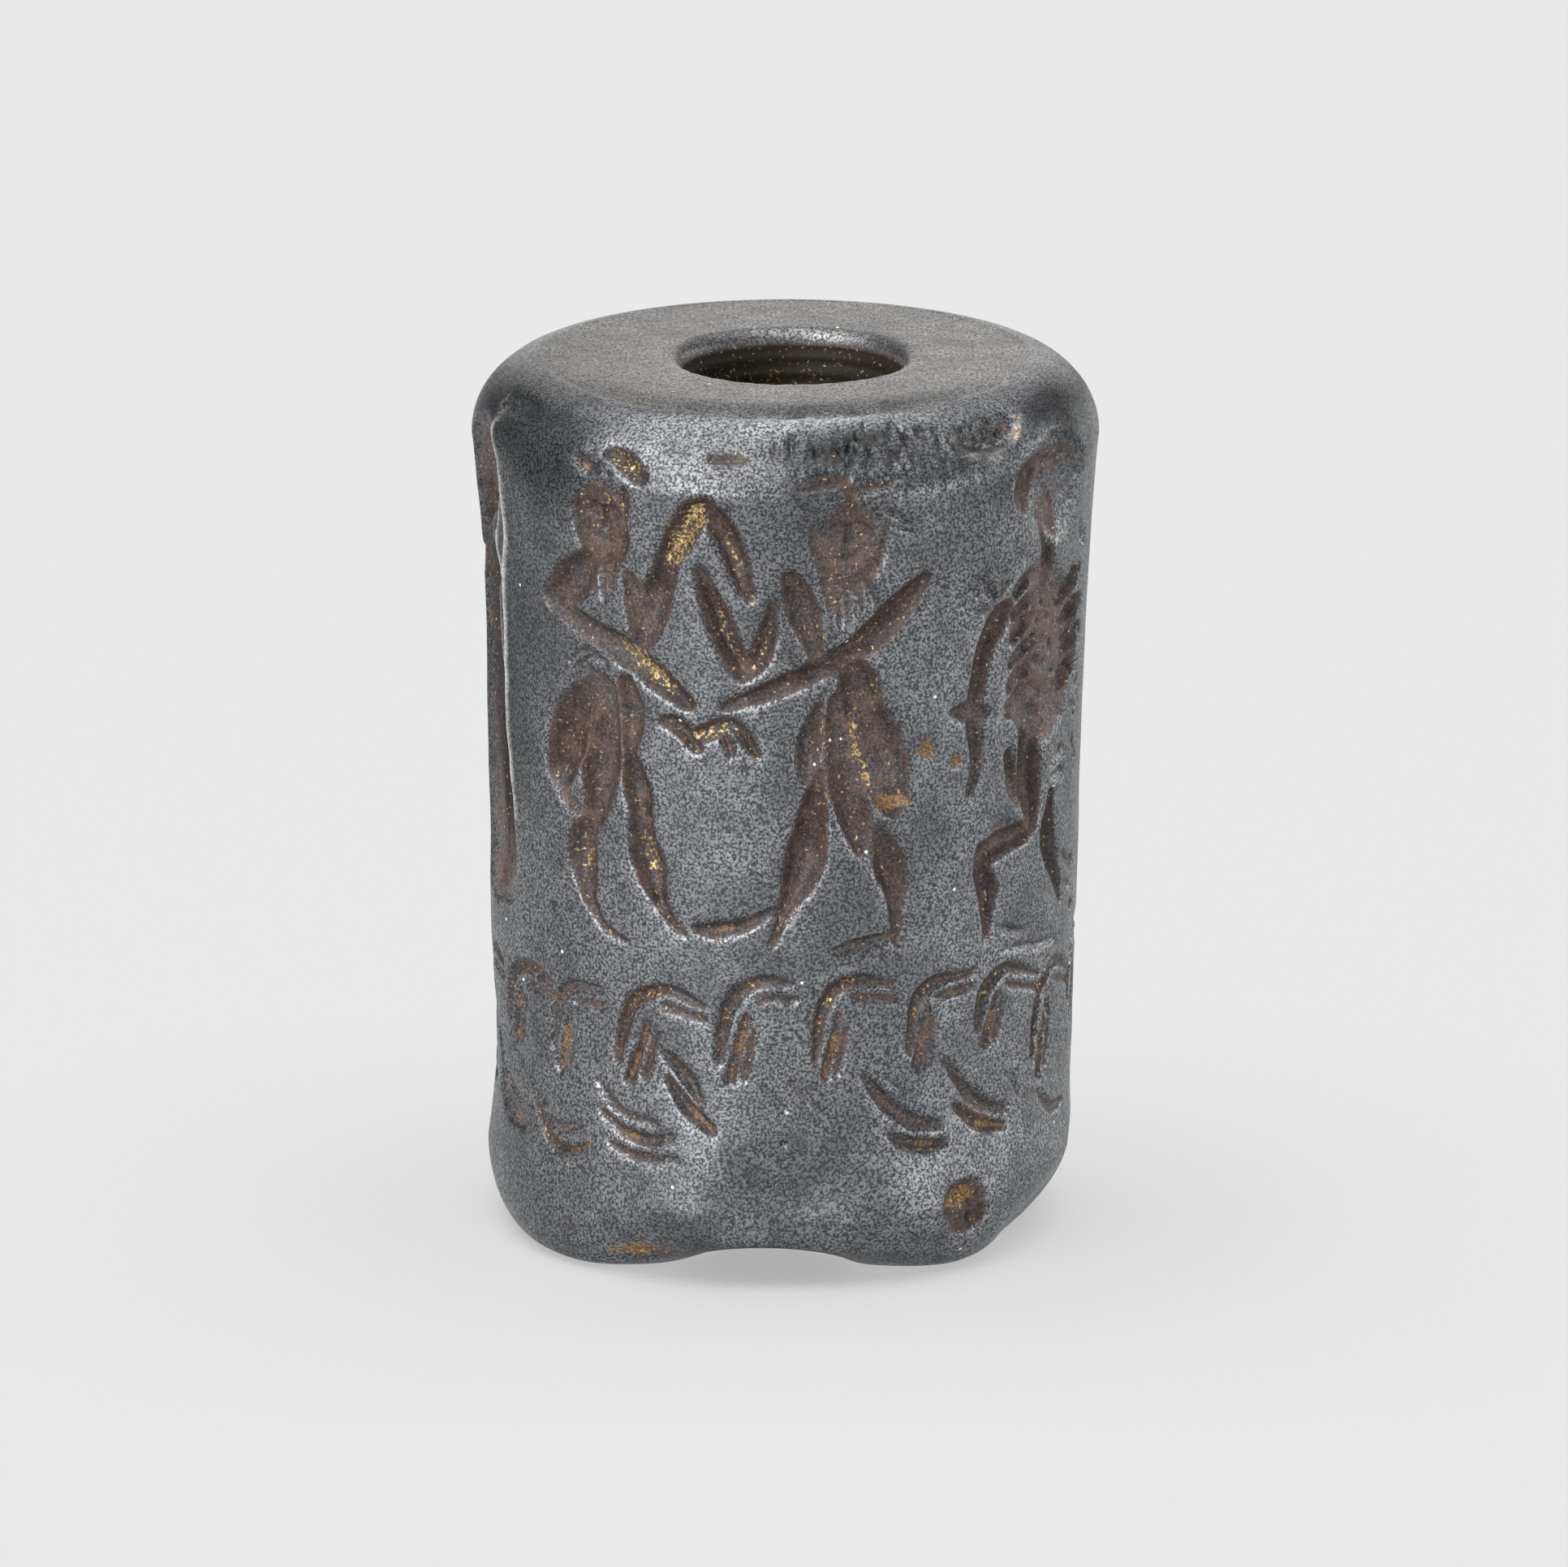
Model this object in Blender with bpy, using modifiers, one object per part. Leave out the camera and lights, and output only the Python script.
# A cylinder seal of dark iron ore, drilled end to end, with two rows of figures sunk into its side.
# It stands on its lower end. Front is -Y, +X is right, and the origin is the middle of the lower end.
import math

import bmesh
import bpy

MM = 0.001

# The stone
HEIGHT = 28.2 * MM
RIM_RADIUS = 10.0 * MM  # widest ring, just under the upper edge
WAIST_RADIUS = 9.25 * MM  # narrowest ring, low on the side
FOOT_RADIUS = 9.6 * MM  # widest ring above the lower edge
WAIST_HEIGHT = 7.0 * MM
UPPER_EDGE_REACH = 2.2 * MM  # the worn upper edge, inwards and downwards
UPPER_EDGE_DROP = 2.4 * MM
LOWER_EDGE_REACH = 1.6 * MM
LOWER_EDGE_RISE = 2.4 * MM
RIM_FLARE_SHARE = 1 / 3  # of the widening above the waist, what comes just under the rim
FLARE_POWER = 6

# The hole, drilled from both ends and narrowest in the middle
BORE_RADIUS = 3.5 * MM
BORE_MIDDLE_RADIUS = 3.25 * MM
BORE_LIP = 0.6 * MM  # rounding of each mouth
BORE_OFFSET = 0.22 * MM  # the drill ran a little to the right of the middle

# Wear at the foot
ARCH_RISE = 0.9 * MM  # hollow in the front of the lower end, where the foot's flat begins
ARCH_HALF_WIDTH = 4.5 * MM
ARCH_HALF_REACH = 5.0 * MM
ARCH_SINK = 1.5 * MM  # how far the hollow's middle lies below and in front of the edge
ARCH_SHIFT = -1.06 * MM
CHIP_DEPTH = 0.7 * MM  # broken corner, front right
CHIP_HALF_LENGTH = 5.0 * MM
CHIP_HALF_THICKNESS = 3.5 * MM
CHIP_BEARING = 68  # degrees round from the front

# The two rows
LOWER_ROW_MARGIN = 3.7 * MM  # plain stone under the birds
LOWER_ROW_HEIGHT = 6.5 * MM
ROW_GAP = 0.7 * MM
UPPER_ROW_MARGIN = 1.3 * MM  # plain stone over the figures' heads
DRAWN_UPPER = 16  # the upper row's figures are drawn on a row this many units high
DRAWN_LOWER = 6.5  # and the birds on this many
BIRD_COUNT = 19
FIRST_BIRD = 11  # bearing of the bird that stands highest
BIRD_DRIFT = 0.4  # the row of birds wanders this far up and down round the stone

# Strokes, in the units of the drawing
DEPTH_BASE = 0.1
DEPTH_PER_WIDTH = 0.28
MOST_DEPTH = 0.62
OVERRUN = 0.3  # how far a stroke runs past its joints at each end, as a share of its width
FULLNESS = 1.12  # makes up for the flats of a few-sided stroke
STROKE_LIFT = 0.25  # how far a stroke's middle stands out of the stone, as a share of its depth
BROAD_STROKE = 0.6  # strokes from this width up have more facets
BROAD_SIDES = 6
BROAD_RINGS = 4
NARROW_SIDES = 4
NARROW_RINGS = 3

TURNED_STEPS = 40
EDGE_STEPS = 4
SIDE_STEPS = 5
MOUTH_TURNS = (20, 60)  # degrees round the bore's lip where its outline has a point

STONE = (0.085, 0.085, 0.095, 1.0)


def side_radius(height):
    """Radius of the uncarved side at a height."""
    rim_height = HEIGHT - UPPER_EDGE_DROP
    if height >= WAIST_HEIGHT:
        share = min((height - WAIST_HEIGHT) / (rim_height - WAIST_HEIGHT), 1)
        widening = (1 - RIM_FLARE_SHARE) * share + RIM_FLARE_SHARE * share**FLARE_POWER
        return WAIST_RADIUS + (RIM_RADIUS - WAIST_RADIUS) * widening
    share = min((WAIST_HEIGHT - height) / (WAIST_HEIGHT - LOWER_EDGE_RISE), 1)
    return WAIST_RADIUS + (FOOT_RADIUS - WAIST_RADIUS) * share**2


def outer_radius(height):
    """Radius of the uncarved stone at a height, worn edges included."""
    upper = height - (HEIGHT - UPPER_EDGE_DROP)
    lower = LOWER_EDGE_RISE - height
    if upper > 0:
        turn = math.sqrt(max(1 - (upper / UPPER_EDGE_DROP) ** 2, 0))
        return RIM_RADIUS - UPPER_EDGE_REACH * (1 - turn)
    if lower > 0:
        turn = math.sqrt(max(1 - (lower / LOWER_EDGE_RISE) ** 2, 0))
        return FOOT_RADIUS - LOWER_EDGE_REACH * (1 - turn)
    return side_radius(height)


def stone_profile():
    """Half outline of the solid stone, from the middle of the top down to the middle of the foot."""
    quarter = [math.pi / 2 * step / EDGE_STEPS for step in range(EDGE_STEPS + 1)]
    points = [(0, HEIGHT)]
    for turn in quarter:
        radius = RIM_RADIUS - UPPER_EDGE_REACH * (1 - math.sin(turn))
        points.append((radius, HEIGHT - UPPER_EDGE_DROP * (1 - math.cos(turn))))
    top, bottom = HEIGHT - UPPER_EDGE_DROP, LOWER_EDGE_RISE
    for step in range(1, SIDE_STEPS):
        height = top + (bottom - top) * step / SIDE_STEPS
        points.append((side_radius(height), height))
    for turn in reversed(quarter):
        radius = FOOT_RADIUS - LOWER_EDGE_REACH * (1 - math.sin(turn))
        points.append((radius, LOWER_EDGE_RISE * (1 - math.cos(turn))))
    points.append((0, 0))
    return points


def bore_profile():
    """Half outline of the drilled hole, with a flared mouth at each end."""
    beyond = HEIGHT / 10
    turns = [math.radians(degrees) for degrees in MOUTH_TURNS]
    mouth = [
        (BORE_RADIUS + BORE_LIP * (1 - math.sin(turn)), HEIGHT - BORE_LIP * (1 - math.cos(turn)))
        for turn in turns
    ]
    first = mouth[0]
    outside = (first[0] + beyond / 2, first[1] + beyond / 4)
    upper = [(0, outside[1]), outside, *mouth]
    lower = [(radius, HEIGHT - height) for radius, height in reversed(upper)]
    return [*upper, (BORE_MIDDLE_RADIUS, HEIGHT / 2), *lower]


def turned(name, profile, collection):
    """A solid of revolution about Z from a half outline that runs from top to bottom."""
    mesh = bpy.data.meshes.new(name)
    edges = [(i, i + 1) for i in range(len(profile) - 1)]
    mesh.from_pydata([(radius, 0, height) for radius, height in profile], edges, [])
    turned_object = bpy.data.objects.new(name, mesh)
    collection.objects.link(turned_object)
    screw = turned_object.modifiers.new("turn", "SCREW")
    screw.axis = "Z"
    screw.steps = screw.render_steps = TURNED_STEPS
    screw.use_merge_vertices = True
    screw.merge_threshold = 0.00001
    return turned_object


def as_cutter(obj):
    obj.hide_render = True
    obj.display_type = "WIRE"
    return obj


def scoop(name, half_sizes, place, bearing, collection):
    """A flattened ball that takes a worn or broken hollow out of the stone."""
    ball = bmesh.new()
    bmesh.ops.create_uvsphere(ball, u_segments=16, v_segments=9, radius=1)
    for vertex in ball.verts:
        vertex.co = [size * value for size, value in zip(half_sizes, vertex.co)]
    mesh = bpy.data.meshes.new(name)
    ball.to_mesh(mesh)
    ball.free()
    cutter = as_cutter(bpy.data.objects.new(name, mesh))
    cutter.location = place
    cutter.rotation_euler.z = math.radians(bearing)
    collection.objects.link(cutter)


class Row:
    """A band of carving: turns a drawing's units into places on the stone's side."""

    def __init__(self, foot, height, drawn_height, collection):
        self.foot = foot
        self.unit = height / drawn_height
        self.turn_per_unit = self.unit / side_radius(HEIGHT / 2)
        self.collection = collection
        self.count = 0
        self.centre = 0
        self.flip = 1

    def place(self, bearing, flip=1):
        """Sets where the next strokes go, and whether they are drawn mirrored."""
        self.centre = math.radians(bearing)
        self.flip = flip

    def on_stone(self, x, y, outward):
        height = self.foot + y * self.unit
        angle = self.centre + self.flip * x * self.turn_per_unit
        radius = outer_radius(height) + outward * self.unit
        return radius * math.sin(angle), -radius * math.cos(angle), height

    def stroke(self, start, end, width, bow=0):
        """One ground hollow from start to end, bent sideways by bow, wrapped round the stone."""
        depth = min(DEPTH_BASE + DEPTH_PER_WIDTH * width, MOST_DEPTH)
        lift = STROKE_LIFT * depth
        broad = width >= BROAD_STROKE
        sides, rings = (BROAD_SIDES, BROAD_RINGS) if broad else (NARROW_SIDES, NARROW_RINGS)
        run, rise = end[0] - start[0], end[1] - start[1]
        length = math.hypot(run, rise)
        reach = 1 + 2 * OVERRUN * width / length
        ball = bmesh.new()
        bmesh.ops.create_uvsphere(ball, u_segments=sides, v_segments=rings, radius=1)
        for vertex in ball.verts:
            across, outward, along = vertex.co
            aside = FULLNESS * across * width / 2 + bow * (1 - along**2)
            share = (1 + along * reach) / 2
            x = start[0] + run * share - rise / length * aside
            y = start[1] + rise * share + run / length * aside
            vertex.co = self.on_stone(x, y, outward * (depth + lift) + lift)
        if self.flip < 0:
            bmesh.ops.reverse_faces(ball, faces=ball.faces[:])
        self.count += 1
        name = f"{self.collection.name}_{self.count:03d}"
        mesh = bpy.data.meshes.new(name)
        ball.to_mesh(mesh)
        ball.free()
        self.collection.objects.link(as_cutter(bpy.data.objects.new(name, mesh)))

    def chain(self, joints, *widths):
        """A limb: one stroke between each joint and the next."""
        for start, end, width in zip(joints, joints[1:], widths):
            self.stroke(start, end, width)


def bearded_head(row, x, y, plain):
    """Round hollow for the head, a cap over it and a pointed beard of parted locks under it."""
    row.stroke((x, y + 0.8), (x, y - 0.8), 1.8)
    if plain:
        row.stroke((x, y - 1.2), (x, y - 2.4), 0.7)
        return
    row.stroke((x - 1.3, y + 1.7), (x + 1.3, y + 1.7), 0.4)
    for side in (-1, 1):
        row.stroke((x + 0.95 * side, y + 0.2), (x + 0.2 * side, y - 1.7), 0.4)
        row.stroke((x + 0.5 * side, y - 1.5), (x + 0.3 * side, y - 2.6), 0.3)


def wrestling_hero(row, plain=False):
    """A bearded man seen from the front, one arm across his body and the other raised."""
    bearded_head(row, -0.1, 13.9, plain)
    row.chain([(-0.9, 12.2), (-2.1, 11.0)], 1.3)
    row.chain([(-2.3, 10.9), (0.7, 9.8), (2.7, 8.3)], 0.75, 0.75)
    row.chain([(1.25, 10.0), (2.1, 12.4), (3.5, 14.6), (4.8, 11.9)], 1.1, 0.8, 0.6)
    row.chain([(-0.9, 7.9), (-2.2, 5.6)], 1.6)
    row.chain([(-0.3, 8.0), (-0.7, 4.1), (-1.05, 1.5)], 1.45, 1.2)
    row.chain([(0.75, 8.4), (0.85, 6.8)], 0.85)
    row.chain([(0.8, 6.2), (1.3, 4.2), (1.75, 1.8)], 0.9, 1.1)
    if not plain:
        row.chain([(-1.3, 9.25), (-0.1, 9.2)], 0.35)
        row.chain([(-1.3, 8.6), (-0.1, 8.6)], 0.35)
        row.chain([(-1.0, 1.2), (-0.5, 0.6), (0.6, 0.2)], 0.3, 0.3)
        row.chain([(2.0, 1.6), (2.7, 0.8)], 0.3)


def bull_man(row, plain=False):
    """A bearded man with a bull's haunches, one arm stretched across to the hero's hand."""
    bearded_head(row, -0.05, 13.8, plain)
    row.chain([(-1.6, 12.0), (-1.0, 9.9)], 0.9)
    row.chain([(2.1, 11.8), (0.3, 10.1), (-3.7, 8.3)], 0.9, 0.6)
    row.chain([(0.4, 9.3), (0.4, 8.2)], 1.6)
    row.chain([(-1.0, 7.7), (-1.4, 6.1)], 0.8)
    row.chain([(0.65, 7.8), (1.35, 5.3)], 1.65)
    row.chain([(-0.35, 8.0), (0.35, 3.9)], 1.1)
    row.chain([(-1.05, 5.6), (-1.8, 2.1), (-2.4, 0.6)], 1.1, 0.35)
    row.chain([(1.25, 3.8), (1.7, 1.7), (1.65, 0.5)], 1.0, 0.4)
    if not plain:
        row.chain([(1.2, 14.4), (2.0, 13.9)], 0.35)
        row.stroke((-2.2, 1.5), (-4.6, 0.7), 0.4, bow=0.2)
        row.chain([(1.4, 0.5), (-0.3, 0.2)], 0.3)


def striding_priest(row, plain=False):
    """A round-headed figure in a tiered robe, striding, with a blade held low in front."""
    row.chain([(0.6, 14.6), (0.6, 13.6)], 3.4)
    row.chain([(0.3, 12.0), (0.4, 11.0)], 0.7)
    row.chain([(-1.3, 11.0), (-2.6, 9.8), (-3.0, 7.8)], 0.7, 0.6)
    row.chain([(-3.6, 7.6), (-2.8, 7.5)], 0.5)
    row.chain([(-3.2, 6.9), (-3.1, 4.9)], 0.35)
    for tier in range(4):
        height = 11.1 - tier * 0.95
        row.chain([(-0.8 - 0.1 * tier, height), (0.4 + 0.2 * tier, height)], 0.9)
    row.chain([(1.2, 10.3), (2.9, 8.8)], 1.4)
    row.chain([(-1.0, 7.4), (-0.8, 4.8)], 1.0)
    row.chain([(0.2, 7.4), (-0.1, 3.9)], 1.3)
    row.chain([(-0.3, 3.1), (-2.4, 3.1), (-2.2, 1.4)], 0.75, 0.75)
    row.chain([(0.8, 3.4), (1.6, 1.1)], 1.0)
    if not plain:
        row.chain([(-2.2, 1.1), (-2.0, 0.4), (-1.0, 0.1)], 0.3, 0.3)
        row.chain([(1.7, 0.9), (1.9, 0.2)], 0.3)


def standing_worshipper(row, plain=False):
    """A tall figure in a long straight robe, hands raised in front."""
    row.chain([(0, 14.4), (0, 13.4)], 1.9)
    row.chain([(-0.5, 11.2), (0.6, 11.2)], 2.0)
    row.chain([(0, 10.4), (0.1, 6.4), (0.2, 1.9)], 2.9, 3.3)
    row.chain([(-0.9, 11.0), (-2.6, 10.6), (-3.1, 12.4)], 0.8, 0.5)
    if not plain:
        row.chain([(-1.2, 0.6), (0.2, 0.4)], 0.4)
        row.chain([(0.3, 0.6), (1.6, 0.4)], 0.4)


def bent_staff(row):
    """The bent staff between two wrestlers, over a small crouching beast."""
    row.chain([(-0.8, 12.1), (0.4, 9.5), (1.2, 11.4)], 0.75, 0.55)
    row.chain([(-2.1, 7.5), (-1.1, 7.0), (0.1, 7.6), (0.7, 7.0)], 0.5, 0.55, 0.4)


def water_bird(row, lift):
    """A long-necked bird: a beak to the right, a neck of two strokes and a double curved body."""
    row.chain([(-1.2, 3.9 + lift), (-0.7, 5.5 + lift), (1.3, 5.5 + lift)], 0.35, 0.35)
    row.stroke((-0.4, 4.9 + lift), (-0.8, 3.3 + lift), 0.35)
    row.stroke((0.9, 2.2), (3.4, 0.8), 0.4, bow=-0.3)


FIGURES = (
    (striding_priest, 55.5, 1, False),
    (bull_man, 12, 1, False),
    (wrestling_hero, -36, 1, False),
    (standing_worshipper, -78, 1, False),
    (bull_man, 104, -1, True),
    (wrestling_hero, 150, -1, True),
    (striding_priest, -165, -1, True),
    (standing_worshipper, -121, 1, True),
)


def carve_upper_row(row):
    for carve, bearing, flip, plain in FIGURES:
        row.place(bearing, flip)
        carve(row, plain)
    for bearing, flip in ((-11, 1), (127, -1)):
        row.place(bearing, flip)
        bent_staff(row)


def carve_lower_row(row):
    for number in range(BIRD_COUNT):
        turn = 360 * number / BIRD_COUNT
        row.place(turn + FIRST_BIRD)
        water_bird(row, BIRD_DRIFT * math.cos(math.radians(turn)))


def new_collection(name):
    collection = bpy.data.collections.new(name)
    bpy.context.scene.collection.children.link(collection)
    return collection


def cut(obj, name, **operand):
    boolean = obj.modifiers.new(name, "BOOLEAN")
    boolean.operation = "DIFFERENCE"
    boolean.solver = "EXACT"
    for key, value in operand.items():
        setattr(boolean, key, value)


def stone_material():
    material = bpy.data.materials.new("iron_ore")
    material.use_nodes = True
    shader = material.node_tree.nodes["Principled BSDF"]
    shader.inputs["Base Color"].default_value = STONE
    shader.inputs["Roughness"].default_value = 0.4
    shader.inputs["Metallic"].default_value = 0.25
    return material


def build():
    for obj in list(bpy.data.objects):
        bpy.data.objects.remove(obj)
    parts = new_collection("cylinder_seal")
    drill = new_collection("bore")
    wear = new_collection("wear")
    upper = new_collection("figure")
    lower = new_collection("bird")

    seal = turned("cylinder_seal", stone_profile(), parts)
    bore = as_cutter(turned("bore", bore_profile(), drill))
    bore.location.x = BORE_OFFSET
    cut(seal, "bore", object=bore)

    inward = (ARCH_SINK + LOWER_EDGE_REACH) / ARCH_HALF_REACH
    half_height = (ARCH_RISE + ARCH_SINK) / math.sqrt(1 - inward**2)
    scoop(
        "foot_arch",
        (ARCH_HALF_WIDTH, ARCH_HALF_REACH, half_height),
        (ARCH_SHIFT, -FOOT_RADIUS - ARCH_SINK, -ARCH_SINK),
        0,
        wear,
    )
    bearing = math.radians(CHIP_BEARING)
    away = (CHIP_HALF_THICKNESS - CHIP_DEPTH) * math.sqrt(0.5)
    reach = FOOT_RADIUS - LOWER_EDGE_REACH * (1 - math.sqrt(0.5)) + away
    scoop(
        "foot_chip",
        (CHIP_HALF_LENGTH, CHIP_HALF_THICKNESS, CHIP_HALF_THICKNESS),
        (
            reach * math.sin(bearing),
            -reach * math.cos(bearing),
            LOWER_EDGE_RISE * (1 - math.sqrt(0.5)) - away,
        ),
        CHIP_BEARING,
        wear,
    )
    cut(seal, "wear", operand_type="COLLECTION", collection=wear)

    carve_lower_row(Row(LOWER_ROW_MARGIN, LOWER_ROW_HEIGHT, DRAWN_LOWER, lower))
    foot_line = LOWER_ROW_MARGIN + LOWER_ROW_HEIGHT + ROW_GAP
    carve_upper_row(Row(foot_line, HEIGHT - UPPER_ROW_MARGIN - foot_line, DRAWN_UPPER, upper))
    cut(seal, "lower row", operand_type="COLLECTION", collection=lower)
    cut(seal, "upper row", operand_type="COLLECTION", collection=upper)
    seal.data.materials.append(stone_material())


build()
